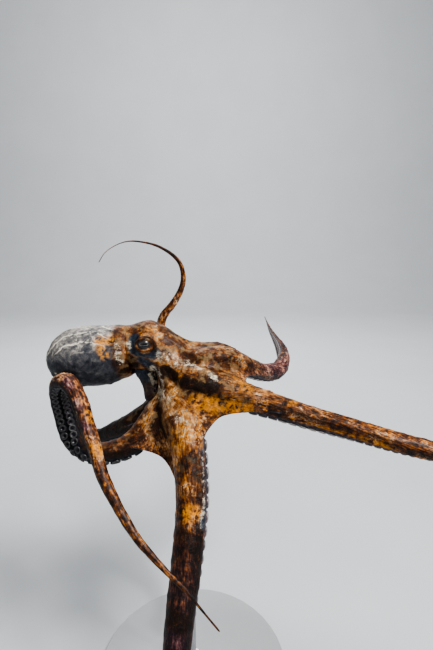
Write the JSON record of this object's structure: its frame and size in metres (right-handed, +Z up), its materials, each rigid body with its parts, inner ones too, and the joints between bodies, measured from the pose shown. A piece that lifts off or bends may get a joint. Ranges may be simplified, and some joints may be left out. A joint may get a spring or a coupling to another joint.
{
  "type": "octopus",
  "caption": "Life-size day octopus swimming mantle first, arms spread and trailing, as a still model on a rod with a flat round base.",
  "frame": {"origin": "centre of the underside of the stand's base, on the floor", "axes": "+Z up; -X is the way the animal swims, mantle first; -Y is the animal's right side, which the picture shows"},
  "size_m": [0.7919, 0.7623, 0.6808],
  "materials": {
    "arm_skin": "wet, finely wrinkled skin, orange brown with darker and golden mottling",
    "web_skin": "wet, smooth stretched skin, golden orange",
    "body_skin": "wet skin, silvery grey with a pale net and brown patches",
    "eye": "wet and glossy, with a dark slit pupil",
    "base_paint": "satin pale grey paint",
    "steel": "brushed"
  },
  "bodies": {
    "root": {"arm_right_1_base": "arm_skin", "arm_right_1_middle": "arm_skin", "arm_right_1_outer": "arm_skin", "arm_right_1_tip": "arm_skin", "arm_right_2_base": "arm_skin", "arm_right_2_middle": "arm_skin", "arm_right_2_outer": "arm_skin", "arm_right_2_tip": "arm_skin", "arm_right_3_base": "arm_skin", "arm_right_3_middle": "arm_skin", "arm_right_3_outer": "arm_skin", "arm_right_3_tip": "arm_skin", "arm_right_4_base": "arm_skin", "arm_right_4_middle": "arm_skin", "arm_right_4_outer": "arm_skin", "arm_right_4_tip": "arm_skin", "arm_left_1_base": "arm_skin", "arm_left_1_middle": "arm_skin", "arm_left_1_outer": "arm_skin", "arm_left_1_tip": "arm_skin", "arm_left_2_base": "arm_skin", "arm_left_2_middle": "arm_skin", "arm_left_2_outer": "arm_skin", "arm_left_2_tip": "arm_skin", "arm_left_3_base": "arm_skin", "arm_left_3_middle": "arm_skin", "arm_left_3_outer": "arm_skin", "arm_left_3_tip": "arm_skin", "arm_left_4_base": "arm_skin", "arm_left_4_middle": "arm_skin", "arm_left_4_outer": "arm_skin", "arm_left_4_tip": "arm_skin", "crown": "arm_skin", "web_right_1_to_right_2": "web_skin", "web_right_2_to_right_3": "web_skin", "web_right_3_to_right_4": "web_skin", "web_right_4_to_left_4": "web_skin", "web_left_4_to_left_3": "web_skin", "web_left_3_to_left_2": "web_skin", "web_left_2_to_left_1": "web_skin", "web_left_1_to_right_1": "web_skin", "mantle": "body_skin", "head": "body_skin", "funnel": "body_skin", "eye_left": "eye", "eye_right": "eye", "stand_base": "base_paint", "stand_collar": "steel", "stand_rod": "steel"}
  },
  "joints": []
}
